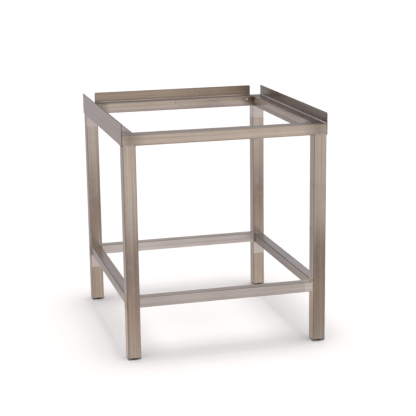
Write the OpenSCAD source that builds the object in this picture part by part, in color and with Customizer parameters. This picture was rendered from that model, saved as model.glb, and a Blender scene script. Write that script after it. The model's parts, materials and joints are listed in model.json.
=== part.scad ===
// Open stainless steel floor stand for a propane burner or other counter-top appliance.
// Four square legs carry a mitred box-section top frame with a flat ledge, and four
// lower rails brace the legs. Flat upstand plates on the left, right and back of the
// ledge keep the appliance from sliding off; the front is open.
// Origin: middle of the footprint, on the floor. +Z is up, -Y is the open front.

/* [Overall] */
// Width over the outer faces of the side upstands
stand_w = 600; // [450:10:900]
// Depth from the front rail to the outer face of the back upstand
stand_d = 640; // [450:10:800]
// Height of the ledge above the floor
ledge_h = 654; // [400:1:900]

/* [Legs and top rails] */
// Outside width of the square leg tube, and of the ledge
leg_size = 38; // [30:1:50]
// Height of the top rail tube
top_rail_h = 32; // [28:1:50]
// Wall thickness of every tube
tube_wall = 1.5; // [1.2:0.1:2]
// Outside corner radius of every tube
tube_radius = 3; // [2.5:0.5:4]

/* [Lower rails] */
// Outside size of the square lower rail tube
low_rail_size = 30; // [20:1:30]
// Height of the underside of the lower rails
low_rail_z = 154; // [80:1:250]

/* [Upstands] */
// Height of the upstands above the ledge
upstand_h = 31; // [20:1:60]
// Thickness of the upstand plates
plate_t = 2; // [2:0.5:3]
// Radius of the upper corners of the plates
plate_corner_r = 4; // [1:1:15]

/* [Fixings] */
// Thread diameter of the upstand screws
screw_d = 5; // [4:1:6]
// Clearance hole in the rails for each screw
clearance_d = 5.5; // [4.5:0.5:7]
// Depth of the screw line below the ledge
screw_drop = 9; // [8:1:14]
// Distance between the two screws of a side upstand
side_pitch = 480; // [200:10:560]
// Distance from one screw of the back upstand to the next
back_pitch = 240; // [100:5:250]

/* [Foot inserts] */
// Thickness of the square rim under each leg
foot_rim_t = 1.5; // [1:0.5:4]
// Height of the round base that stands on the floor, below the rim
foot_base_h = 4.5; // [2:0.5:8]
// Depth that the ribbed plug reaches into the leg
foot_plug_h = 22; // [12:1:30]

/* [Hidden] */
$fn = 48;

brushed = "#b5aca1";
sheet = "#a39a92";
bright = "#d0d0cc";
zinc = "#c4bd9f";
black_plastic = "#262626";

frame_x = stand_w / 2 - plate_t;
frame_front = -stand_d / 2;
frame_back = stand_d / 2 - plate_t;
leg_x = frame_x - leg_size / 2;
front_y = frame_front + leg_size / 2;
back_y = frame_back - leg_size / 2;
mid_y = (frame_front + frame_back) / 2;
frame_depth = frame_back - frame_front;
top_rail_z = ledge_h - top_rail_h;
leg_length = top_rail_z - foot_rim_t - foot_base_h;
low_rail_w = 2 * frame_x - 2 * leg_size;
low_rail_d = frame_depth - 2 * leg_size;
plate_h = top_rail_h + upstand_h;
back_plate_w = 2 * (frame_x - leg_size) + plate_t * 2;
screw_z = ledge_h - screw_drop;
screw_len = leg_size + plate_t;
side_spots = [-side_pitch / 2, side_pitch / 2];
back_spots = [-back_pitch, 0, back_pitch];
tube_bore_r = tube_radius - tube_wall;

// Standard proportions of a button head screw and its nut, as shares of the thread diameter
head_d_share = 1.9;
head_h_share = 0.55;
socket_af_share = 0.6;
socket_depth_share = 0.3;
nut_af_share = 1.6;
head_d = head_d_share * screw_d;
head_h = head_h_share * screw_d;
dome_r = (pow(head_d / 2, 2) + pow(head_h, 2)) / (2 * head_h);
socket_af = socket_af_share * screw_d;
socket_depth = socket_depth_share * screw_d;
shank_slack = 0.1;
nut_af = nut_af_share * screw_d;
hex_ratio = 2 / sqrt(3);

rib_gap = 0.1;
rib_t = 1.5;
rib_pitch = 5.5;
plug_inset = 2;
plug_wall = 2;
foot_h = foot_rim_t + foot_base_h;
base_inset = 2.2;
sole_inset = 4;
plug_w = leg_size - 2 * tube_wall - 2 * plug_inset;
plug_hollow_w = plug_w - 2 * plug_wall;
rib_w = leg_size - 2 * tube_wall - rib_gap;
rib_hollow_w = plug_w - plug_wall;

mitre_angle = 45;
over = 1;

// A square or oblong with rounded corners, centred on the origin
module rounded_rect(w, h, r) {
    square([w - 2 * r, h], center = true);
    square([w, h - 2 * r], center = true);
    for (x = [-w / 2 + r, w / 2 - r], y = [-h / 2 + r, h / 2 - r])
        translate([x, y]) circle(r = r);
}

// The cross-section of a box tube: its outline less its bore
module tube_section(w, h) {
    difference() {
        rounded_rect(w, h, tube_radius);
        rounded_rect(w - 2 * tube_wall, h - 2 * tube_wall, tube_bore_r);
    }
}

// A box tube along X, centred, w deep in Y and h tall in Z
module tube_along_x(length, w, h) {
    rotate([90, 0, 90])
        linear_extrude(height = length, center = true)
            tube_section(w, h);
}

// A leg stands on its foot insert and ends under the top frame
module leg(x, y) {
    translate([x, y, foot_h])
        linear_extrude(height = leg_length)
            tube_section(leg_size, leg_size);
}

// Removes a corner outside the 45 degree mitre at the +X end of a rail whose outer face is -Y
module mitre_cut(length) {
    translate([length / 2, -leg_size / 2, 0])
        rotate([0, 0, mitre_angle])
            translate([0, -leg_size, -top_rail_h])
                cube([2 * leg_size, 4 * leg_size, 2 * top_rail_h]);
}

// A top rail with its outer face towards -Y, mitred at both ends, with a row of screw holes
module top_rail(length, spots) {
    difference() {
        tube_along_x(length, leg_size, top_rail_h);
        mitre_cut(length);
        mirror([1, 0, 0]) mitre_cut(length);
        for (s = spots)
            translate([s, 0, top_rail_h / 2 - screw_drop])
                rotate([90, 0, 0])
                    cylinder(d = clearance_d, h = leg_size + 2 * over, center = true);
    }
}

// Places a top rail: turn 0 is the front, 180 the back, 90 the right and -90 the left
module place_top_rail(x, y, turn, length, spots) {
    translate([x, y, ledge_h - top_rail_h / 2])
        rotate([0, 0, turn])
            top_rail(length, spots);
}

// A lower rail fits between two legs, centred on them
module low_rail(x, y, turn, length) {
    translate([x, y, low_rail_z + low_rail_size / 2])
        rotate([0, 0, turn])
            tube_along_x(length, low_rail_size, low_rail_size);
}

// The outline of an upstand plate, standing on its lower edge, with rounded upper corners
module plate_outline(w) {
    translate([-w / 2, 0]) square([w, plate_h - plate_corner_r]);
    translate([-w / 2 + plate_corner_r, 0]) square([w - 2 * plate_corner_r, plate_h]);
    for (x = [-w / 2 + plate_corner_r, w / 2 - plate_corner_r])
        translate([x, plate_h - plate_corner_r]) circle(r = plate_corner_r);
}

// An upstand plate whose inner face is the plane y = 0, pierced for its clinch nuts
module upstand(w, spots) {
    difference() {
        rotate([90, 0, 0])
            linear_extrude(height = plate_t)
                plate_outline(w);
        for (s = spots)
            translate([s, over, top_rail_h - screw_drop])
                rotate([90, 0, 0])
                    cylinder(d = nut_af * hex_ratio, h = plate_t + 2 * over, $fn = 6);
    }
}

// Turns an item made for the front face of the frame so that it fits the left, right or back
module on_side(side) {
    if (side == "left") translate([-frame_x, mid_y, 0]) rotate([0, 0, -90]) children();
    if (side == "right") translate([frame_x, mid_y, 0]) rotate([0, 0, 90]) children();
    if (side == "back") translate([0, frame_back, 0]) rotate([0, 0, 180]) children();
}

// A flush clinch nut: a hexagonal disc as thick as the plate, with a threaded bore
module clinch_nut() {
    rotate([90, 0, 0])
        difference() {
            cylinder(d = nut_af * hex_ratio, h = plate_t, $fn = 6);
            translate([0, 0, -over]) cylinder(d = screw_d, h = plate_t + 2 * over);
        }
}

// A button head screw along -Y, its head seated on the plane y = leg_size
module upstand_screw() {
    translate([0, leg_size, 0]) {
        rotate([90, 0, 0])
            cylinder(d = screw_d - shank_slack, h = screw_len);
        rotate([-90, 0, 0])
            difference() {
                intersection() {
                    translate([0, 0, head_h - dome_r]) sphere(r = dome_r);
                    cylinder(d = head_d, h = head_h);
                }
                translate([0, 0, head_h - socket_depth])
                    cylinder(d = socket_af * hex_ratio, h = socket_depth + over, $fn = 6);
            }
    }
}

// A row of fixings for one upstand, at the height of the screw line
module fixing_row(side, spots) {
    on_side(side)
        for (s = spots)
            translate([s, 0, screw_z]) children();
}

// The part of a foot insert below the leg: a square rim over a round base with a flat sole
module foot_base() {
    cylinder(r1 = leg_size / 2 - sole_inset, r2 = leg_size / 2 - base_inset, h = foot_base_h);
    translate([0, 0, foot_base_h])
        linear_extrude(height = foot_rim_t)
            rounded_rect(leg_size, leg_size, tube_radius);
}

// A square ring with rounded corners, from outside width to inside width
module square_ring(outer_w, inner_w, height) {
    linear_extrude(height = height)
        difference() {
            rounded_rect(outer_w, outer_w, tube_bore_r);
            rounded_rect(inner_w, inner_w, tube_bore_r);
        }
}

// A plastic foot insert: round base, hollow plug and the thin ribs that grip the leg
module foot(x, y) {
    first_rib = foot_h + rib_t;
    last_rib = foot_h + foot_plug_h - rib_t;
    translate([x, y, 0]) {
        foot_base();
        translate([0, 0, foot_h])
            square_ring(plug_w, plug_hollow_w, foot_plug_h);
        for (z = [first_rib : rib_pitch : last_rib])
            translate([0, 0, z])
                square_ring(rib_w, rib_hollow_w, rib_t);
    }
}

// An upstand plate at its height on one side of the frame
module raised_upstand(side, w, spots) {
    on_side(side)
        translate([0, 0, top_rail_z])
            upstand(w, spots);
}

// Four legs, one under each corner of the top frame
module front_left_leg() {
    color(brushed) leg(-leg_x, front_y);
}

module front_right_leg() {
    color(brushed) leg(leg_x, front_y);
}

module back_left_leg() {
    color(brushed) leg(-leg_x, back_y);
}

module back_right_leg() {
    color(brushed) leg(leg_x, back_y);
}

// Four foot inserts, one in the end of each leg
module front_left_foot() {
    color(black_plastic) foot(-leg_x, front_y);
}

module front_right_foot() {
    color(black_plastic) foot(leg_x, front_y);
}

module back_left_foot() {
    color(black_plastic) foot(-leg_x, back_y);
}

module back_right_foot() {
    color(black_plastic) foot(leg_x, back_y);
}

// The mitred top frame; the front rail carries no upstand, so it has no holes
module front_top_rail() {
    color(brushed) place_top_rail(0, front_y, 0, 2 * frame_x, []);
}

module back_top_rail() {
    color(brushed) place_top_rail(0, back_y, 180, 2 * frame_x, back_spots);
}

module left_top_rail() {
    color(brushed) place_top_rail(-leg_x, mid_y, -90, frame_depth, side_spots);
}

module right_top_rail() {
    color(brushed) place_top_rail(leg_x, mid_y, 90, frame_depth, side_spots);
}

// Four lower rails between the legs
module front_low_rail() {
    color(brushed) low_rail(0, front_y, 0, low_rail_w);
}

module back_low_rail() {
    color(brushed) low_rail(0, back_y, 0, low_rail_w);
}

module left_low_rail() {
    color(brushed) low_rail(-leg_x, mid_y, 90, low_rail_d);
}

module right_low_rail() {
    color(brushed) low_rail(leg_x, mid_y, 90, low_rail_d);
}

// Left and right upstands are as deep as the frame; the back one stops between the legs
module left_upstand() {
    color(sheet) raised_upstand("left", frame_depth, side_spots);
}

module right_upstand() {
    color(sheet) raised_upstand("right", frame_depth, side_spots);
}

module back_upstand() {
    color(sheet) raised_upstand("back", back_plate_w, back_spots);
}

// The screws of each upstand
module left_upstand_screws() {
    color(bright) fixing_row("left", side_spots) upstand_screw();
}

module right_upstand_screws() {
    color(bright) fixing_row("right", side_spots) upstand_screw();
}

module back_upstand_screws() {
    color(bright) fixing_row("back", back_spots) upstand_screw();
}

// The nuts pressed into each upstand
module left_clinch_nuts() {
    color(zinc) fixing_row("left", side_spots) clinch_nut();
}

module right_clinch_nuts() {
    color(zinc) fixing_row("right", side_spots) clinch_nut();
}

module back_clinch_nuts() {
    color(zinc) fixing_row("back", back_spots) clinch_nut();
}

front_left_leg();
front_right_leg();
back_left_leg();
back_right_leg();
front_left_foot();
front_right_foot();
back_left_foot();
back_right_foot();
front_top_rail();
back_top_rail();
left_top_rail();
right_top_rail();
front_low_rail();
back_low_rail();
left_low_rail();
right_low_rail();
left_upstand();
right_upstand();
back_upstand();
left_upstand_screws();
right_upstand_screws();
back_upstand_screws();
left_clinch_nuts();
right_clinch_nuts();
back_clinch_nuts();
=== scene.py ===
import json
import math

import bmesh
import bpy
import numpy as np
from mathutils import Matrix, Vector

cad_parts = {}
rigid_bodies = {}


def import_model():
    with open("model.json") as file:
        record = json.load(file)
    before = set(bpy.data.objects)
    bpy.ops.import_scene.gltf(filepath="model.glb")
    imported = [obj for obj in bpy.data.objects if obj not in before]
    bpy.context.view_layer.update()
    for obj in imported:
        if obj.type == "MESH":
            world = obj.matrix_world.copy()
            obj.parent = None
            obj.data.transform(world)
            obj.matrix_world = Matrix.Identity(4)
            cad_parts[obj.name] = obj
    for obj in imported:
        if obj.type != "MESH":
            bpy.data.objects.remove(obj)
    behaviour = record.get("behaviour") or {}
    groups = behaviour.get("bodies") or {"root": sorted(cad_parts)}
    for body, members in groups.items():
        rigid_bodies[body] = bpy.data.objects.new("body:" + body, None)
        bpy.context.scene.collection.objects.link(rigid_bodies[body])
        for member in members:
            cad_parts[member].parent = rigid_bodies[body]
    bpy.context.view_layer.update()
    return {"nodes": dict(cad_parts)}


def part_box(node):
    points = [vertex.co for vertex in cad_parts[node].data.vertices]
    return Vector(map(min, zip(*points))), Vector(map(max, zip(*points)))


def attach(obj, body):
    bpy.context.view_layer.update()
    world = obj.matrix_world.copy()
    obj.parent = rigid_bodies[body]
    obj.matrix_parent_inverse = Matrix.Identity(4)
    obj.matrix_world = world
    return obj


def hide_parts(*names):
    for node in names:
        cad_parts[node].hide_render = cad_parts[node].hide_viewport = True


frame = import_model()

# ---------------------------------------------------------------------------
# Legs
# Four square stainless tubes, 38 mm outside with a 1.5 mm wall, cold drawn and belt polished
# along their length. Each stands on a plastic insert and is welded under a corner of the top
# frame. Below the rails' welds, the inner faces of the back legs were dressed brighter.
# ---------------------------------------------------------------------------
tube_wall = 0.0015
tube_radius = 0.003
cut_edge = 0.0002
arc_steps = 6


def corner_box(node):
    """Lowest and highest corner of a CAD node as numpy arrays."""
    low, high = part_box(node)
    return np.array(low), np.array(high)


def rounded_outline(width, height, radius):
    """Points, outward normals and a corner share, round a rectangle with arcs for corners.

    A corner is its centre plus radius times (cos a, sin a) as a runs through 90 degrees. One
    more point on the flat, just before and just after each arc, keeps the flats flat in shading.
    The corner share is sin 2a: 0 on the flats and 1 in the middle of a corner.
    """
    turn = np.concatenate([[0], np.linspace(0, math.pi / 2, arc_steps + 1), [math.pi / 2]])
    lead = np.concatenate([[-radius / 4], np.zeros(arc_steps + 1), [radius / 4]])
    quarter = np.arange(4)[:, None]
    angle = turn[None] + quarter * math.pi / 2
    side_x = np.array([1, -1, -1, 1])[:, None] * (width / 2 - radius)
    side_y = np.array([1, 1, -1, -1])[:, None] * (height / 2 - radius)
    normal = np.stack([np.cos(angle), np.sin(angle)], -1)
    along = np.stack([-np.sin(angle), np.cos(angle)], -1)
    point = np.stack([side_x + 0 * angle, side_y + 0 * angle], -1) + radius * normal
    point += along * lead[None, :, None]
    share = np.broadcast_to(np.sin(2 * turn), angle.shape)
    return point.reshape(-1, 2), normal.reshape(-1, 2), share.ravel()


def skin(name, grid, closed_rows=False, corner=None):
    """A mesh object from a grid of points whose columns close on themselves.

    Rows join row to row; closed_rows also joins the last row to the first, like a tyre, and
    otherwise each end row is closed by one face. The signed volume, a sixth of the sum of
    a . (b x c) over the quads' halves, tells whether the faces point outwards.
    """
    rows, cols = grid.shape[:2]
    index = np.arange(rows * cols).reshape(rows, cols)
    here = index if closed_rows else index[:-1]
    after = np.roll(index, -1, 0) if closed_rows else index[1:]
    quads = np.stack([here, np.roll(here, -1, 1), np.roll(after, -1, 1), after], -1)
    quads = quads.reshape(-1, 4)
    points = grid.reshape(-1, 3)
    a, b, c, d = (points[quads[:, k]] for k in range(4))
    volume = (a * np.cross(b, c)).sum() + (a * np.cross(c, d)).sum()
    faces = quads.tolist()
    if not closed_rows:
        first, last = index[0][::-1], index[-1]
        for cap in (first, last):
            fan = points[cap]
            volume += (fan[0] * np.cross(fan[1:-1], fan[2:])).sum()
            faces.append(cap.tolist())
    if volume < 0:
        faces = [face[::-1] for face in faces]
    mesh = bpy.data.meshes.new(name)
    mesh.from_pydata(points.tolist(), [], faces)
    mesh.polygons.foreach_set("use_smooth", np.ones(len(faces), bool))
    mesh.update()
    if corner is not None:
        layer = mesh.attributes.new("corner", "FLOAT", "POINT")
        layer.data.foreach_set("value", np.tile(corner, rows).astype(np.float32))
    piece = bpy.data.objects.new(name, mesh)
    bpy.context.collection.objects.link(piece)
    return piece


def box_tube(name, length, width, height, axes, centre, mitre=0.0):
    """An open box tube: the profile of its wall carried round its rounded outline.

    The profile runs up the outer skin, over one cut end, down the inner skin and over the other.
    A point lies at outline - inset x normal, and at +-(length / 2 - mitre x (depth from the outer
    face)) + or - its distance from the cut end. mitre 1 gives a 45 degree cut, 0 a square one.
    """
    outline, normal, corner = rounded_outline(width, height, tube_radius)
    near_end = cut_edge * np.array([[1, 0], [0.3, 0.3], [0, 1], [0, 4]])
    inside = near_end * [-1, 1] + [tube_wall, 0]
    inset = np.concatenate([near_end[:, 0], near_end[::-1, 0], inside[:, 0], inside[::-1, 0]])
    back_off = np.concatenate([near_end[:, 1], near_end[::-1, 1], inside[:, 1], inside[::-1, 1]])
    end = np.repeat([-1, 1, 1, -1], len(near_end))
    flat = outline[None] - inset[:, None, None] * normal[None]
    depth = flat[..., 0] + width / 2
    reach = end[:, None] * (length / 2 - mitre * depth - back_off[:, None])
    local = np.stack([reach, flat[..., 0], flat[..., 1]], -1)
    return skin(name, local @ np.array(axes, float) + centre, closed_rows=True, corner=corner)


class Value:
    """A shader socket that takes arithmetic: each operator adds one Math node."""

    def __init__(self, paint, socket):
        self.paint = paint
        self.socket = socket

    def maths(self, operation, *others, clamp=False):
        """One Math node on this value and the others; clamp holds the result to 0..1."""
        settings = {"operation": operation, "use_clamp": clamp}
        return self.paint.node("ShaderNodeMath", settings, dict(enumerate((self, *others))))

    def __add__(self, other):
        return self.maths("ADD", other)

    def __sub__(self, other):
        return self.maths("SUBTRACT", other)

    def __rsub__(self, other):
        return (self * -1.0).maths("ADD", other)

    def __mul__(self, other):
        return self.maths("MULTIPLY", other)

    __radd__ = __add__
    __rmul__ = __mul__

    def above(self, edge, blur):
        """0 below edge and 1 above it, ramped over blur."""
        return ((self - (edge - blur / 2)) * (1 / blur)).maths("ADD", 0.0, clamp=True)


class Paint:
    """A material or a world under construction, with its shader and one way to add a node."""

    def __init__(self, name, holder=None, shader="Principled BSDF", **constants):
        self.material = holder or bpy.data.materials.new(name)
        self.material.use_nodes = True
        self.tree = self.material.node_tree
        self.shader = self.tree.nodes[shader]
        for socket, value in constants.items():
            self.shader.inputs[socket.replace("_", " ")].default_value = value

    def node(self, kind, settings=None, inputs=None, output=0):
        """Adds a node, sets it up, links or fills its inputs and wraps one output."""
        made = self.tree.nodes.new(kind)
        for key, value in (settings or {}).items():
            if key == "stops":
                self.fill_ramp(made.color_ramp, value)
            else:
                setattr(made, key, value)
        for socket, value in (inputs or {}).items():
            if isinstance(value, Value):
                self.tree.links.new(value.socket, made.inputs[socket])
            else:
                made.inputs[socket].default_value = value
        return Value(self, made.outputs[output])

    def fill_ramp(self, ramp, stops):
        """Gives a ramp its stops, two of which it already has."""
        for position, colour in stops[2:]:
            ramp.elements.new(position)
        for element, (position, colour) in zip(ramp.elements, stops):
            element.position = position
            element.color = (*colour, 1.0)

    def place(self):
        """Object coordinates in metres, the same for every piece, as all sit at the origin."""
        return self.node("ShaderNodeTexCoord", output=3)

    def stretched(self, scale, shift=(0.0, 0.0, 0.0)):
        """Object coordinates times scale, which makes a pattern finer or coarser by axis."""
        return self.node("ShaderNodeMapping", inputs={0: self.place(), 1: shift, 3: scale})

    def noise(self, vector, detail=2.0, rough=0.5):
        """Smooth noise, 0 to 1 and mostly near a half."""
        settings = {"noise_dimensions": "3D"}
        inputs = {"Vector": vector, "Scale": 1.0, "Detail": detail, "Roughness": rough}
        return self.node("ShaderNodeTexNoise", settings, inputs)

    def blend(self, share, first, second):
        """Colour first where share is 0, second where it is 1."""
        settings = {"data_type": "RGBA", "blend_type": "MIX"}
        return self.node("ShaderNodeMix", settings, {0: share, 6: first, 7: second}, output=2)

    def scaled(self, share, colour, factor):
        """The colour, multiplied by factor where share is 1."""
        settings = {"data_type": "RGBA", "blend_type": "MULTIPLY"}
        inputs = {0: share, 6: colour, 7: shade(factor)}
        return self.node("ShaderNodeMix", settings, inputs, output=2)

    def bump(self, height, strength, distance):
        """A Bump node: small relief, distance deep in metres, that only bends the shading."""
        inputs = {"Strength": strength, "Distance": distance, "Height": height}
        return self.node("ShaderNodeBump", inputs=inputs)

    def finish(self, **links):
        """Links values to the shader's sockets by name and gives the finished material."""
        for socket, value in links.items():
            self.tree.links.new(value.socket, self.shader.inputs[socket.replace("_", " ")])
        return self.material


def shade(colour, factor=1.0):
    """A colour times a factor, with the alpha that a colour socket has."""
    return (*(factor * channel for channel in colour), 1.0)


def axis_value(paint, axis):
    """One Object coordinate, 0 for X, 1 for Y and 2 for Z."""
    return paint.node("ShaderNodeSeparateXYZ", inputs={0: paint.place()}, output=axis)


def streaks(paint, grain, size, shift, detail=2.0, rough=0.5):
    """Streaks along an axis, about 0; size is their width and their length in metres."""
    across, along = size
    scale = tuple(1 / along if axis == grain else 1 / across for axis in range(3))
    return paint.noise(paint.stretched(scale, shift), detail, rough) - 0.5


def cloud(paint, per_metre, shift):
    """A cloudy haze, about 0, with that many blotches to the metre."""
    return paint.noise(paint.stretched((per_metre,) * 3, shift), 3.0, 0.6) - 0.5


satin_dark = (0.47, 0.425, 0.375)
satin_light = (0.665, 0.62, 0.595)
# colours of a painted highlight: the faces listed as bright are painted lighter and more silver
# for the light they reflect
bright_dark = (0.70, 0.71, 0.76, 1.0)
bright_light = (0.90, 0.92, 0.97, 1.0)
dressed_pale = (0.84, 0.835, 0.87, 1.0)
fine_streak = (0.0004, 0.06)
middle_streak = (0.0032, 0.4)
broad_streak = (0.010, 0.8)
cross_streak = (0.0005, 0.02)
corner_shade = 0.4
# share of the dark tone at the deep end of a painted shade ramp
ramp_shade_factor = 0.45
heat_shade = 0.62
heat_soft = 0.022
bright_soft = 0.001
dressed_soft = 0.003
relief = 0.00005


def satin_steel(
    name, grain, tone, seed, rough=0.2, dressed=(), tinted=(), shade_ramp=None, bright=(), shine=1.0,
    banded=(), heat=heat_soft, edge=0.6
):
    """Belt-polished stainless steel whose grain runs along an axis.

    Its colour goes from a yellowish to a paler, pinker tone by broad, middle and fine streaks
    along the grain and by a cloudy haze, and tone scales both. The rounded corners are darker by
    edge: a painted shade, for the darker surroundings that rounded edges reflect. dressed lists
    boxes where a weld was dressed: there the tone is paler, the polish duller and the lines run
    across the grain. tinted lists boxes made darker and browner over a ramp of width heat: weld
    heat tint near the top rails' corners, darker ends on the front top rail, and a painted shade
    round the low rails' height on the legs. faded is an axis, the places where a painted shade
    starts and is full, and its share; it stands for a darker reflection of shaded floor. bright
    lists boxes of a face painted lighter and more silver, a painted highlight, by shine. banded
    lists boxes, each with a factor for the colour in it and the width of its soft border; most
    of them carry painted light and shade, the rest weld stains and a cleaned weld.
    """
    paint = Paint(name, Metallic=1.0)
    shift = (seed * 0.37, seed * 0.71, seed * 0.53)
    fine = streaks(paint, grain, fine_streak, shift, 3.0, 0.6)
    middle = streaks(paint, grain, middle_streak, shift)
    broad = streaks(paint, grain, broad_streak, shift, 1.0)
    haze = cloud(paint, 7.0, shift)
    touch = paint.noise(paint.stretched((55.0, 55.0, 55.0), shift), 2.0).above(0.60, 0.16)
    share = fine * 0.6 + middle * 1.7 + broad * 1.3 + haze * 1.2 + 0.5
    share = share.maths("ADD", 0.0, clamp=True)
    dark = tuple(tone * channel for channel in satin_dark)
    light = tuple(min(1.0, tone * channel) for channel in satin_light)
    colour = paint.blend(share, shade(dark), shade(light))
    corner = paint.node("ShaderNodeAttribute", {"attribute_name": "corner"}, output=2)
    # painted shade: the rounded corners are darker, for the darker surroundings that they reflect
    colour = paint.blend(corner * edge, colour, shade(dark, corner_shade))
    # painted shade: darker along one axis, for a darker reflection of shaded floor
    if shade_ramp:
        axis, start, full, depth = shade_ramp
        fade = axis_value(paint, axis).above((start + full) / 2, abs(full - start))
        fade = fade if full > start else 1.0 - fade
        colour = paint.blend(fade * depth, colour, shade(dark, ramp_shade_factor))
    # painted highlight: the bright faces get a lighter, more silver colour, less of it on their
    # rounded corners
    polish_and_highlight = box_share(paint, bright, bright_soft)
    if polish_and_highlight is not None:
        highlight_colour = paint.blend(share, bright_dark, bright_light)
        colour = paint.blend(polish_and_highlight * shine * (1.0 - 0.6 * corner), colour, highlight_colour)
    tint = box_share(paint, tinted, heat)
    if tint is not None:
        colour = paint.blend(tint * 0.75, colour, shade(dark, heat_shade))
    for box, factor, soft in banded:
        colour = paint.scaled(box_share(paint, [box], soft), colour, factor)
    roughness = 0.10 * haze + 0.06 * middle + 0.05 * touch + 0.08 * corner + rough + 0.02
    lines = fine * 0.6 + middle * 0.4
    patch = box_share(paint, dressed, dressed_soft)
    if patch is not None:
        cross = streaks(paint, (grain + 1) % 3, cross_streak, shift) + 0.5
        colour = paint.blend(patch * 0.85, colour, dressed_pale)
        roughness = roughness + patch * (0.10 + 0.1 * cross)
        lines = lines * (1.0 - patch) + cross * patch
    bump = paint.bump(lines, 0.22, relief)
    return paint.finish(Base_Color=colour, Roughness=roughness, Normal=bump)


def box_share(paint, boxes, soft):
    """1 inside any of the boxes, 0 outside and a ramp that is soft metres wide on their sides.

    Without any box it gives None. An axis on which a box is endless is left out.
    """
    total = None
    for low, high in boxes:
        share = None
        for axis in range(3):
            span = high[axis] - low[axis]
            if span > 1.0:
                continue
            inside = axis_value(paint, axis).above(low[axis], min(soft, span))
            beyond = axis_value(paint, axis).above(high[axis], min(soft, span))
            within = inside * (1.0 - beyond)
            share = within if share is None else share * within
        total = share if total is None else total.maths("MAXIMUM", share)
    return total


dress_reach = 0.040
face_depth = 0.001
weld_depth = 0.002
# how far above and below the low rail the painted shade on the legs reaches
rail_band_reach = 0.008
endless = 10.0
rail_low, rail_high = corner_box("front_low_rail")
top_low, top_high = corner_box("front_top_rail")


def slab(axis, start, finish):
    """A box that is endless but for one axis, where it goes from start to finish."""
    low = np.full(3, -endless)
    high = np.full(3, endless)
    low[axis] = start
    high[axis] = finish
    return low, high


def face_slab(axis, place, depth):
    """A thin slab over a flat face, depth to either side of it."""
    return slab(axis, place - depth, place + depth)


def both(first, second):
    """The box that two boxes share."""
    return np.maximum(first[0], second[0]), np.minimum(first[1], second[1])


upright_axes = [(0, 0, 1), (1, 0, 0), (0, 1, 0)]
# The front right leg's lower tone, and its darker foot, are painted shade: that leg reflects the
# shaded floor inside the stand.
leg_tones = {"front_left": 1.01, "front_right": 0.94, "back_left": 0.97, "back_right": 0.97}
foot_darkening = (2, 0.17, 0.08, 0.36)
# tone of a deeper painted shade on the back left leg at the low rail's height
rail_band_tone = (0.66, 0.67, 0.68)
rail_band_soft = 0.006
for seed, (corner_name, leg_tone) in enumerate(leg_tones.items()):
    node = corner_name + "_leg"
    low, high = corner_box(node)
    width, depth, length = high - low
    leg = box_tube(node + "_tube", length, width, depth, upright_axes, (low + high) / 2)
    dressed = []
    if corner_name.startswith("back"):
        inner = face_slab(1, low[1], face_depth)
        for top in (top_low[2], rail_low[2]):
            dressed.append(both(slab(2, top - dress_reach, top), inner))
    if corner_name == "back_right":
        beside = face_slab(0, low[0], face_depth)
        dressed.append(both(slab(2, top_low[2] - dress_reach, top_low[2]), beside))
    outer = low[0] if low[0] < 0 else high[0]
    # painted shade: each leg's outer face is darker round the low rail's height, beside the rail
    outer_side = face_slab(0, outer, weld_depth)
    tinted = [both(slab(2, rail_low[2] - rail_band_reach, rail_high[2] + rail_band_reach), outer_side)]
    # painted shade: the front right leg darkens towards its foot
    shade_ramp = foot_darkening if corner_name == "front_right" else None
    rail_band_shade = []
    # painted shade: the back left leg's band is darker still over the rail's own height
    if corner_name == "back_left":
        behind_rail = both(slab(2, rail_low[2], rail_high[2]), outer_side)
        rail_band_shade = [(behind_rail, rail_band_tone, rail_band_soft)]
    metal = satin_steel(
        node + "_satin", 2, leg_tone, seed, rough=0.19, dressed=dressed, tinted=tinted,
        shade_ramp=shade_ramp, banded=rail_band_shade
    )
    leg.data.materials.append(metal)
    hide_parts(node)
    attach(leg, "root")

# ---------------------------------------------------------------------------
# Foot inserts
# Black polyethylene plugs, injection moulded in one piece. Each is pushed into the end of a leg
# and held by thin ribs; below its square rim a round base with a flat sole stands on the floor.
# ---------------------------------------------------------------------------
base_height = 0.0045
foot_height = 0.006
plug_inset = 0.0035
rib_pitch = 0.0055
rib_height = 0.0015
rib_gap = 0.0001
hollow_inset = 0.0055
foot_half = 0.019
smallest = 0.0002
fully_round = 1.0


def foot_profile(height):
    """Inset from the rim's outline, height and corner radius, from the sole up to the hollow.

    The base narrows slightly to a rounded lower edge; its corner radius is more than its width
    allows, which makes it round. Above the rim the line steps in to the plug, goes out to the
    tube's bore and back for each rib, and runs down inside the hollow plug.
    """
    base = [(0.014, 0.0), (0.0046, 0.0), (0.0037, 0.0003), (0.0032, 0.0010), (0.0024, 0.0044)]
    line = [(smallest, base_height), (0.0, base_height + smallest)]
    line += [(0.0, foot_height - smallest), (smallest, foot_height)]
    line += [(plug_inset, foot_height), (plug_inset, foot_height + rib_height)]
    for z in np.arange(foot_height + rib_height, height - rib_height, rib_pitch):
        line += [(tube_wall + rib_gap, z), (tube_wall + rib_gap, z + rib_height)]
        line += [(plug_inset, z + rib_height), (plug_inset, min(height, z + rib_pitch))]
    line += [(hollow_inset, height), (hollow_inset, foot_height)]
    line += [(foot_half, foot_height)]
    line = np.array(line)
    below = np.column_stack([base, np.full(len(base), fully_round)])
    above = np.column_stack([line, np.maximum(tube_radius - line[:, 0], smallest)])
    return np.concatenate([[(foot_half, 0.0, smallest)], below, above])


def moulded_insert(name, low, high):
    """The foot profile carried round a rounded square, the inset taken off on every side.

    A corner radius is held just under half the width, where the square becomes a circle.
    """
    size = high[0] - low[0]
    rings = []
    for inset, z, radius in foot_profile(high[2] - low[2]):
        width = max(size - 2 * inset, 4 * smallest)
        outline, _, _ = rounded_outline(width, width, min(radius, width / 2.01))
        rings.append(np.column_stack([outline, np.full(len(outline), z)]))
    middle = (low + high) / 2
    return skin(name, np.array(rings) + [middle[0], middle[1], low[2]])


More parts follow.
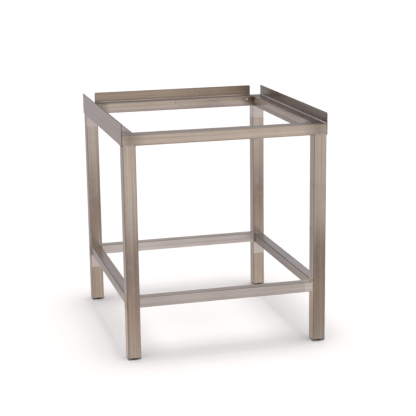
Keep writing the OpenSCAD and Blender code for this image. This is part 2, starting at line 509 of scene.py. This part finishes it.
def foot_plastic():
    """Dull black polyethylene, faintly cloudy, scuffed near the sole, with a moulded grain."""
    paint = Paint("foot_plastic", Metallic=0.0)
    mottle = paint.noise(paint.stretched((220.0, 220.0, 220.0)), 3.0)
    scuff = paint.noise(paint.stretched((900.0, 900.0, 160.0)), 3.0, 0.7).above(0.6, 0.1)
    near_sole = 1.0 - axis_value(paint, 2).above(0.002, 0.003)
    wear = scuff * near_sole
    colour = paint.blend(mottle, (0.022, 0.022, 0.021, 1.0), (0.050, 0.048, 0.046, 1.0))
    colour = paint.blend(wear * 0.6, colour, (0.16, 0.15, 0.14, 1.0))
    grain = paint.noise(paint.stretched((2600.0, 2600.0, 2600.0)), 2.0)
    bump = paint.bump(grain, 0.3, relief)
    rough = 0.42 + 0.2 * mottle + 0.15 * wear
    return paint.finish(Base_Color=colour, Roughness=rough, Normal=bump)


black_plastic = foot_plastic()
for corner in ("front_left", "front_right", "back_left", "back_right"):
    node = corner + "_foot"
    insert = moulded_insert(corner + "_foot_insert", *corner_box(node))
    insert.data.materials.append(black_plastic)
    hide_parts(node)
    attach(insert, "root")

# ---------------------------------------------------------------------------
# Top frame
# Four box tubes, 38 mm wide and 32 mm high, mitred at the corners, welded and dressed flush.
# Their flat tops are the ledge that the burner stands on, and the welds' heat browned their ends.
# ---------------------------------------------------------------------------
# the axes along, across and up each side's rail, with the second one pointing into the frame
turned_axes = {
    "front": [(1, 0, 0), (0, 1, 0), (0, 0, 1)],
    "back": [(-1, 0, 0), (0, -1, 0), (0, 0, 1)],
    "left": [(0, -1, 0), (1, 0, 0), (0, 0, 1)],
    "right": [(0, 1, 0), (-1, 0, 0), (0, 0, 1)],
}
burn_reach = 0.030
# the front rail is darker towards both ends, over a wide soft ramp
front_dark_ends = (0.045, 0.05)
front_end_ramp = 0.07
skin_in = 0.0004
skin_out = 0.001
# The inner faces of the back and right rails are split in two tones at band_share of their height:
# on the back rail a painted reflection in the lower part, on the right rail a painted shade in the
# lower part and a painted highlight in the upper part.
band_share = 0.45
band_soft = 0.0016
dark_corner_reach = (0.012, 0.004)
dark_corner_soft = 0.010
upper_tone = (1.22, 1.20, 1.19)
inner_bands = {"back": (1.0, 1.03, 1.13), "right": (0.84, 0.81, 0.80)}
# painted light on the ledges: the back ledge darker, for the dark upstand it reflects, the left
# one lighter
painted_ledge_tones = {"back": (0.72, 0.69, 0.66), "left": (1.12, 1.10, 1.06)}
# partly weld heat tint, partly painted shade, in the inner corner where the back and right rails
# meet
corner_heat_and_shade = (0.62, 0.57, 0.49)
# the right rail's lower tone is a painted shade, for the darker left side of the frame that its
# inner face reflects
top_tones = {"front": 1.0, "back": 1.0, "left": 0.95, "right": 0.92}
for seed, (side, top_tone) in enumerate(top_tones.items()):
    node = side + "_top_rail"
    low, high = corner_box(node)
    grain = 0 if side in ("front", "back") else 1
    length = (high - low)[grain]
    width = (high - low)[1 - grain]
    centre = (low + high) / 2
    rail = box_tube(
        side + "_top_tube", length, width, high[2] - low[2], turned_axes[side], centre, 1.0
    )
    inner_start = low[grain] + width
    inner_finish = high[grain] - width
    tinted = [
        slab(grain, inner_start - burn_reach, inner_start + burn_reach),
        slab(grain, inner_finish - burn_reach, inner_finish + burn_reach),
    ]
    heat = heat_soft
    if side == "front":
        tinted = [
            slab(0, low[0], low[0] + front_dark_ends[0]),
            slab(0, high[0] - front_dark_ends[1], high[0]),
        ]
        heat = front_end_ramp
    ledge_face = slab(2, high[2] - skin_in, high[2] + skin_out)
    # painted highlight on the left rail's ledge
    bright = [ledge_face] if side == "left" else []
    banded = []
    # painted light and shade on the inner face: its lower and upper parts recoloured
    if side in inner_bands:
        inner_face = face_slab(1 - grain, low[1 - grain], weld_depth)
        band_height = low[2] + band_share * (high[2] - low[2])
        lower = both(inner_face, slab(2, low[2] - weld_depth, band_height))
        upper = both(inner_face, slab(2, band_height, high[2] + weld_depth))
        # darker at that inner corner: weld heat tint and painted shade
        dark_corner_end = slab(grain, inner_finish - dark_corner_reach[0], inner_finish + dark_corner_reach[1])
        banded = [
            (lower, inner_bands[side], band_soft),
            (both(dark_corner_end, upper), corner_heat_and_shade, dark_corner_soft),
        ]
        if side == "right":
            banded.append((upper, upper_tone, band_soft))
    # painted reflection: the ledge's tone
    if side in painted_ledge_tones:
        banded.append((ledge_face, painted_ledge_tones[side], bright_soft))
    metal = satin_steel(
        side + "_top_satin", grain, top_tone, seed + 11, tinted=tinted, bright=bright,
        banded=banded, heat=heat, edge=0.1
    )
    rail.data.materials.append(metal)
    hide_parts(node)
    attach(rail, "root")

# ---------------------------------------------------------------------------
# Leg welds
# Where a leg meets the rounded lower edges of the top rails, the groove is filled with weld and
# dressed flush with the outer faces, so that the leg runs on into the frame.
# ---------------------------------------------------------------------------
for seed, (corner_name, leg_tone) in enumerate(leg_tones.items()):
    low, high = corner_box(corner_name + "_leg")
    middle = (low + high) / 2
    middle[2] = high[2] + tube_radius / 2
    width, depth = (high - low)[:2]
    fill = box_tube(corner_name + "_flush_weld", tube_radius, width, depth, upright_axes, middle)
    fill.data.materials.append(satin_steel(corner_name + "_weld_satin", 2, leg_tone, seed + 7))
    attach(fill, "root")

# ---------------------------------------------------------------------------
# Lower rails
# Four square tubes, 30 mm outside, cut square, centred on the legs and welded all round with a
# small fillet. One end of the front rail is paler where the weld was cleaned.
# ---------------------------------------------------------------------------
fillet = 0.0016
fillet_power = 1.4
cleaned_length = 0.024
cleaned_tone = (1.22, 1.21, 1.20)
cleaned_soft = 0.0015


def weld_fillet(name, width, height, axes, centre):
    """A smooth fillet weld round the end of a tube, against the flat face of a leg.

    Round the tube's outline, the bead's section is a flattened quarter circle, fillet x (cos^p a,
    sin^p a) with p the fillet power, between the face and the tube; one more point closes it in
    the metal.
    """
    outline, normal, _ = rounded_outline(width, height, tube_radius)
    turn = np.linspace(0, math.pi / 2, 6)
    out = np.append(fillet * np.cos(turn) ** fillet_power, -fillet / 3)
    off = np.append(fillet * np.sin(turn) ** fillet_power, -fillet / 3)
    flat = outline[None] + out[:, None, None] * normal[None]
    along = np.broadcast_to(off[:, None], flat.shape[:2])
    local = np.stack([along, flat[..., 0], flat[..., 1]], -1)
    return skin(name, local @ np.array(axes, float) + centre, closed_rows=True)


# The tones carry painted light: the front and back rails are lighter than their steel for the
# light their front faces reflect, and the right one is darker, a painted shade.
low_tones = {"front": 1.15, "back": 1.2, "left": 0.95, "right": 0.82}
for seed, (side, low_tone) in enumerate(low_tones.items()):
    node = side + "_low_rail"
    low, high = corner_box(node)
    grain = 0 if side in ("front", "back") else 1
    length = (high - low)[grain]
    size = high[2] - low[2]
    middle = (low + high) / 2
    rail = box_tube(side + "_low_tube", length, size, size, turned_axes[side], middle)
    cleaned = []
    if side == "front":
        cleaned_end = slab(grain, high[grain] - cleaned_length, high[grain])
        cleaned = [(cleaned_end, cleaned_tone, cleaned_soft)]
    # painted shade: the right rail darkens towards the back, for the darker floor behind the stand
    # that it reflects
    shade_ramp = (1, 0.0, high[1], 0.6) if side == "right" else None
    rough = 0.36 if grain == 0 else 0.22
    # painted highlight on the front faces of the front and back rails, and at half strength on the
    # top of the right rail
    bright = [slab(1, low[1] - skin_out, low[1] + skin_in)] if grain == 0 else []
    shine = 1.0
    if side == "right":
        bright = [slab(2, high[2] - skin_in, high[2] + skin_out)]
        shine = 0.5
    metal = satin_steel(
        side + "_low_satin", grain, low_tone, seed + 23, rough=rough, shade_ramp=shade_ramp,
        bright=bright, shine=shine, banded=cleaned
    )
    rail.data.materials.append(metal)
    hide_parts(node)
    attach(rail, "root")
    for end, name in ((1, "start"), (-1, "finish")):
        axes = np.array(turned_axes[side], float)
        root = middle - end * axes[0] * length / 2
        axes[0] *= end
        bead = weld_fillet(side + "_low_weld_" + name, size, size, axes, root)
        bead.data.materials.append(metal)
        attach(bead, "root")

# ---------------------------------------------------------------------------
# Upstand plates
# Flat plates of 2 mm sheet against the outer faces of the left, right and back rails, with
# rounded upper corners and deburred edges. The sheet is polished outside and a little duller
# inside, and its inner side is painted darker, a painted shade; the back plate's less so.
# ---------------------------------------------------------------------------
plate_corner = 0.004
deburr = 0.0003
nut_across_flats = 0.008
ledge_height = top_high[2]
screw_drop = 0.009


def sheet_plate(name, low, high, hole_places):
    """A flat plate with rounded upper corners and a hexagonal hole for each nut.

    Its outline and holes are closed lines in the plate's own plane, filled and thickened with a
    rounded edge. The first axis of the plane is the plate's longer level one.
    """
    run = 1 if high[0] - low[0] < high[1] - low[1] else 0
    thick = (high - low)[1 - run]
    turn = np.linspace(0, math.pi / 2, 7)
    right = high[run] - plate_corner + plate_corner * np.sin(turn)
    left = low[run] + plate_corner - plate_corner * np.cos(turn)
    rise = high[2] - plate_corner + plate_corner * np.cos(turn)
    climb = high[2] - plate_corner + plate_corner * np.sin(turn)
    outline = [(low[run], low[2]), *zip(left, climb), *zip(right, rise), (high[run], low[2])]
    hexagon = np.arange(6) * math.pi / 3
    radius = nut_across_flats / math.sqrt(3)
    lines = [outline]
    for place in hole_places:
        lines.append([
            (place + radius * math.cos(a), ledge_height - screw_drop + radius * math.sin(a))
            for a in hexagon
        ])
    curve = bpy.data.curves.new(name, "CURVE")
    curve.dimensions = "2D"
    curve.fill_mode = "BOTH"
    curve.extrude = thick / 2 - deburr
    curve.bevel_depth = deburr
    curve.bevel_resolution = 2
    curve.offset = -deburr
    for line in lines:
        spline = curve.splines.new("POLY")
        spline.points.add(len(line) - 1)
        spline.points.foreach_set("co", np.array([(x, y, 0, 1) for x, y in line]).ravel())
        spline.use_cyclic_u = True
    drawn = bpy.data.objects.new(name + "_outline", curve)
    bpy.context.collection.objects.link(drawn)
    mesh = bpy.data.meshes.new_from_object(drawn)
    bpy.data.objects.remove(drawn)
    flat = np.empty(3 * len(mesh.vertices))
    mesh.vertices.foreach_get("co", flat)
    flat = flat.reshape(-1, 3)
    point = np.empty_like(flat)
    point[:, run] = flat[:, 0]
    point[:, 2] = flat[:, 1]
    point[:, 1 - run] = (low + high)[1 - run] / 2 + flat[:, 2]
    mesh.vertices.foreach_set("co", point.ravel())
    shell = bmesh.new()
    shell.from_mesh(mesh)
    bmesh.ops.remove_doubles(shell, verts=shell.verts, dist=1e-6)
    bmesh.ops.recalc_face_normals(shell, faces=shell.faces)
    for face in shell.faces:
        face.smooth = abs(face.normal[1 - run]) < 0.999
    shell.to_mesh(mesh)
    shell.free()
    piece = bpy.data.objects.new(name, mesh)
    bpy.context.collection.objects.link(piece)
    return piece


seam_radius = 0.0019
seam_tone = 1.35


def dressed_seam(name, length, axes, foot):
    """A weld dressed to a hollow fillet, where a plate stands up beside the ledge.

    Its section is a quarter circle hollow towards the room, radius x (1 - cos a, 1 - sin a), with
    two more points down in the groove at the tube's corner. It is carried along in a few steps.
    """
    turn = np.linspace(0, math.pi / 2, 8)
    out = np.concatenate([1 - np.cos(turn), [1.0, 0.0]]) * seam_radius
    rise = np.concatenate([1 - np.sin(turn), [-0.05, -0.4]]) * seam_radius
    step = np.linspace(-0.5, 0.5, 9) * length
    shape = (len(step), len(out))
    local = np.stack([
        np.broadcast_to(step[:, None], shape),
        np.broadcast_to(out, shape),
        np.broadcast_to(rise, shape),
    ], -1)
    return skin(name, local @ axes + foot)


deburred_line = 0.0012
sheet_middle_streak = (0.0032, 0.35)
sheet_broad_streak = (0.009, 0.7)


def sheet_steel(name, grain, face, inward, seed, low, high):
    """Stainless sheet polished outside, a little duller inside, and painted darker inside: a
    painted shade.

    inward is the axis across the plate, the middle of its thickness there, and the sign of the
    inner side, so that the two finishes meet in the middle of the sheet's edge. The sawn edge,
    and a thin line beside it where it was deburred, are darker. low and high are its corners.
    """
    axis, middle, sign = inward
    paint = Paint(name, Metallic=1.0)
    shift = (seed * 0.41, seed * 0.67, seed * 0.29)
    fine = streaks(paint, grain, fine_streak, shift, 3.0, 0.6)
    streak = streaks(paint, grain, sheet_middle_streak, shift)
    broad = streaks(paint, grain, sheet_broad_streak, shift, 1.0)
    haze = cloud(paint, 8.0, shift)
    tone = fine * 0.6 + streak * 1.8 + broad * 1.6 + haze * 1.2 + 0.5
    tone = tone.maths("ADD", 0.0, clamp=True)
    inner = ((axis_value(paint, axis) - middle) * sign).above(0.0, 0.0004)
    polish_and_highlight = paint.blend(tone, shade(face["outer_dark"]), shade(face["outer_light"]))
    # painted shade: the inner side's colour is much darker than the outer, as it turns away from
    # the light
    inner_shaded = paint.blend(tone, shade(face["inner_dark"]), shade(face["inner_light"]))
    colour = paint.blend(inner, polish_and_highlight, inner_shaded)
    rim = 1.0 - box_share(paint, [both(
        slab(2, low[2] + deburred_line, high[2] - deburred_line),
        slab(grain, low[grain] + deburred_line, high[grain] - deburred_line),
    )], deburred_line)
    colour = paint.blend(rim * 0.65, colour, shade(face["inner_dark"], corner_shade))
    rough = 0.25 + 0.1 * haze + 0.06 * streak + 0.03 * inner + 0.1 * rim
    bump = paint.bump(fine, 0.2, relief)
    return paint.finish(Base_Color=colour, Roughness=rough, Normal=bump)


# the inner tones are darker than the outer: a painted shade on the inner faces
sheet_tones = {
    "outer_dark": (0.475, 0.435, 0.415),
    "outer_light": (0.58, 0.535, 0.51),
    "inner_dark": (0.23, 0.20, 0.19),
    "inner_light": (0.37, 0.33, 0.315),
}
# the back plate's inner face, turned to the front, gets a lighter painted shade
back_tones = dict(sheet_tones, inner_dark=(0.42, 0.365, 0.32), inner_light=(0.56, 0.495, 0.43))
nut_places = {}
for seed, side in enumerate(("left", "right", "back")):
    node = side + "_upstand"
    low, high = corner_box(node)
    run = 0 if side == "back" else 1
    nut_low, nut_high = corner_box(side + "_clinch_nuts")
    count = 3 if side == "back" else 2
    reach = nut_across_flats / math.sqrt(3)
    nut_places[side] = np.linspace(nut_low[run] + reach, nut_high[run] - reach, count)
    plate = sheet_plate(side + "_upstand_plate", low, high, nut_places[side])
    across = 1 - run
    inner_sign = 1.0 if side == "left" else -1.0
    inward = (across, float((low + high)[across] / 2), inner_sign)
    tones = back_tones if side == "back" else sheet_tones
    plate.data.materials.append(
        sheet_steel(side + "_sheet", run, tones, inward, seed + 41, low, high)
    )
    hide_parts(node)
    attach(plate, "root")
    reach = high[run] - low[run] - 2 * seam_radius
    seam_axes = np.zeros((3, 3))
    seam_axes[0, run] = 1
    seam_axes[1, across] = inner_sign
    seam_axes[2, 2] = 1
    face = high[across] if inner_sign > 0 else low[across]
    foot = (low + high) / 2
    foot[across] = face
    foot[2] = ledge_height
    seam = dressed_seam(side + "_upstand_seam", reach, seam_axes, foot)
    seam.data.materials.append(satin_steel(side + "_seam_satin", run, seam_tone, seed + 53, 0.3))
    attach(seam, "root")

# ---------------------------------------------------------------------------
# Screws and clinch nuts
# Stainless button head screws go through the rails from inside the frame into flush nuts that are
# pressed into the plates. Only the heads show inside, and the nuts' ends outside.
# ---------------------------------------------------------------------------


# the radius of the painted highlight on a screw head, its soft edge, and the painted shade round
# it
head_highlight_radius = 0.0034
head_highlight_soft = 0.0008
rim_shade_colour = (0.10, 0.09, 0.085)


def turned_steel(name, dark, light, rough, axes=None):
    """Bright steel of a bought fastener: fine haze, a few darker specks and faint turning marks.

    axes gives, for a row of screws, the level axis along it, its middle there, half the distance
    from screw to screw, and the height of their axes. The domed heads then keep their light tone,
    a painted highlight, in the middle and get a darker ring, a painted shade, round it: the
    distance from the nearest screw's axis is the root of (along the row, folded at half the
    distance) squared plus (height above the axes) squared.
    """
    paint = Paint(name, Metallic=1.0)
    haze = paint.noise(paint.stretched((700.0, 700.0, 700.0)), 3.0)
    speck = paint.noise(paint.stretched((2400.0, 2400.0, 2400.0)), 2.0).above(0.66, 0.06)
    colour = paint.blend(haze, shade(dark), shade(light))
    colour = paint.blend(speck * 0.5, colour, shade(dark, 0.5))
    if axes:
        run, middle, half_pitch, height = axes
        along = (axis_value(paint, run) - middle).maths("PINGPONG", half_pitch)
        above_axis = axis_value(paint, 2) - height
        radius = (along * along + above_axis * above_axis).maths("POWER", 0.5)
        # painted shade: a dark ring round each screw head's painted highlight
        dark_rim = radius.above(head_highlight_radius, head_highlight_soft) * 0.85
        colour = paint.blend(dark_rim, colour, shade(rim_shade_colour))
    bump = paint.bump(haze, 0.15, 0.00004)
    return paint.finish(Base_Color=colour, Roughness=rough + 0.12 * haze, Normal=bump)


nut_metal = turned_steel("nut_steel", (0.48, 0.45, 0.40), (0.62, 0.59, 0.54), 0.3)
for side in ("left", "right", "back"):
    run = 0 if side == "back" else 1
    places = nut_places[side]
    half_pitch = float(places[1] - places[0]) / 2
    axes = (run, float(places[0]), half_pitch, ledge_height - screw_drop)
    # painted highlight: the screws' near-white tone stands for the light on their domes
    screw_metal = turned_steel(
        side + "_screw_steel", (0.88, 0.88, 0.87), (0.98, 0.98, 0.97), 0.3, axes
    )
    for suffix, metal in (("_upstand_screws", screw_metal), ("_clinch_nuts", nut_metal)):
        fastener = frame["nodes"][side + suffix]
        fastener.data.materials.clear()
        fastener.data.materials.append(metal)

# ---------------------------------------------------------------------------
# Studio
# A wide pale floor under two soft lamps from above. Polished steel sees neither of them: it sees
# a second floor just below, with the tones of a room, and a backdrop toned by direction.
# The camera is to the left of the open front, above the ledge.
# ---------------------------------------------------------------------------
floor_size = 60.0
floor_white = (0.9, 0.867, 0.86)


def studio_sheet(name, height, material):
    """A level square as wide as the floor, at that height, facing up."""
    square = np.array([(-1, -1, 0), (1, -1, 0), (1, 1, 0), (-1, 1, 0)]) * floor_size / 2
    mesh = bpy.data.meshes.new(name)
    mesh.from_pydata(square.tolist(), [], [(0, 1, 2, 3)])
    mesh.materials.append(material)
    sheet = bpy.data.objects.new(name, mesh)
    sheet.location = (0, 0, height)
    bpy.context.collection.objects.link(sheet)
    return sheet


floor_paint = Paint("floor", Base_Color=shade(floor_white), Roughness=0.8)
floor = studio_sheet("studio_floor", 0, floor_paint.material)
floor.visible_glossy = False


def seen_floor():
    """The floor as polished steel sees it, by a ramp along Y from 2.83 m in front to 0.5 m behind.

    It is pale far in front, dark in a band 1.1 to 1.5 m in front of the middle of the stand, pale
    again under the stand and a little greyer behind it.
    """
    paint = Paint("seen_floor", Base_Color=(0, 0, 0, 1), Emission_Strength=1.0)
    paint.shader.inputs["Specular IOR Level"].default_value = 0.0
    y = axis_value(paint, 1)
    stops = [
        (0.0, (0.82, 0.73, 0.65)),
        (0.22, (0.80, 0.71, 0.65)),
        (0.355, (0.76, 0.68, 0.64)),
        (0.391, (0.33, 0.26, 0.24)),
        (0.526, (0.34, 0.27, 0.24)),
        (0.652, (0.58, 0.47, 0.39)),
        (0.76, (0.68, 0.60, 0.56)),
        (0.82, (0.70, 0.60, 0.515)),
        (0.916, (0.70, 0.60, 0.515)),
        (0.96, (0.53, 0.49, 0.49)),
    ]
    share = y * 0.3 + 0.85
    colour = paint.node("ShaderNodeValToRGB", {"stops": stops}, {0: share})
    return paint.finish(Emission_Color=colour)


mirror_floor = studio_sheet("mirror_floor", -0.002, seen_floor())
mirror_floor.data.materials[0].cycles.emission_sampling = "NONE"
mirror_floor.visible_camera = False
mirror_floor.visible_diffuse = False
mirror_floor.visible_shadow = False
mirror_floor.visible_transmission = False

world = bpy.data.worlds.new("studio")
bpy.context.scene.world = world
sky = Paint("studio", world, "Background", Strength=1.0)
direction = sky.node("ShaderNodeTexCoord", output=0)
rise = sky.node("ShaderNodeSeparateXYZ", inputs={0: direction}, output=2)
backward = sky.node("ShaderNodeSeparateXYZ", inputs={0: direction}, output=1)
behind_stops = [
    (0.0, (0.52, 0.48, 0.49)),
    (0.10, (0.32, 0.28, 0.26)),
    (0.150, (0.30, 0.265, 0.245)),
    (0.168, (0.38, 0.35, 0.34)),
    (0.20, (0.38, 0.35, 0.35)),
    (0.32, (0.52, 0.48, 0.50)),
    (0.6, (0.60, 0.58, 0.58)),
    (1.0, (0.60, 0.58, 0.58)),
]
front_stops = [
    (0.0, (0.80, 0.72, 0.66)),
    (0.15, (0.55, 0.49, 0.45)),
    (1.0, (0.60, 0.58, 0.58)),
]
behind = sky.node("ShaderNodeValToRGB", {"stops": behind_stops}, {0: rise})
front = sky.node("ShaderNodeValToRGB", {"stops": front_stops}, {0: rise})
sky.finish(Color=sky.blend(backward.above(0.0, 0.6), front, behind))
world.cycles_visibility.diffuse = False

lamp_lean = 0.03
for name, power, spread in (("ceiling_lamp", 1.34, 24), ("ceiling_bounce", 2.52, 61)):
    light = bpy.data.lights.new(name, "SUN")
    light.energy = power
    light.angle = math.radians(spread)
    holder = bpy.data.objects.new(name, light)
    holder.rotation_euler = (0.0, lamp_lean, 0.0)
    holder.visible_glossy = False
    bpy.context.collection.objects.link(holder)
for piece in bpy.data.objects:
    if piece.type == "MESH":
        piece.visible_diffuse = False

camera_data = bpy.data.cameras.new("camera")
camera_data.sensor_width = 36.0
camera_data.lens = 106.0
camera = bpy.data.objects.new("camera", camera_data)
camera_place = Vector((-0.919, -3.579, 1.233))
camera_target = Vector((0.0277, 0.0, 0.3532))
roll = math.radians(-0.77)
aim = (camera_target - camera_place).to_track_quat("-Z", "Y").to_matrix()
turned = (aim @ Matrix.Rotation(roll, 3, "Z")).to_4x4()
camera.matrix_world = Matrix.Translation(camera_place) @ turned
bpy.context.collection.objects.link(camera)
bpy.context.scene.camera = camera
bpy.context.scene.view_settings.view_transform = "Standard"
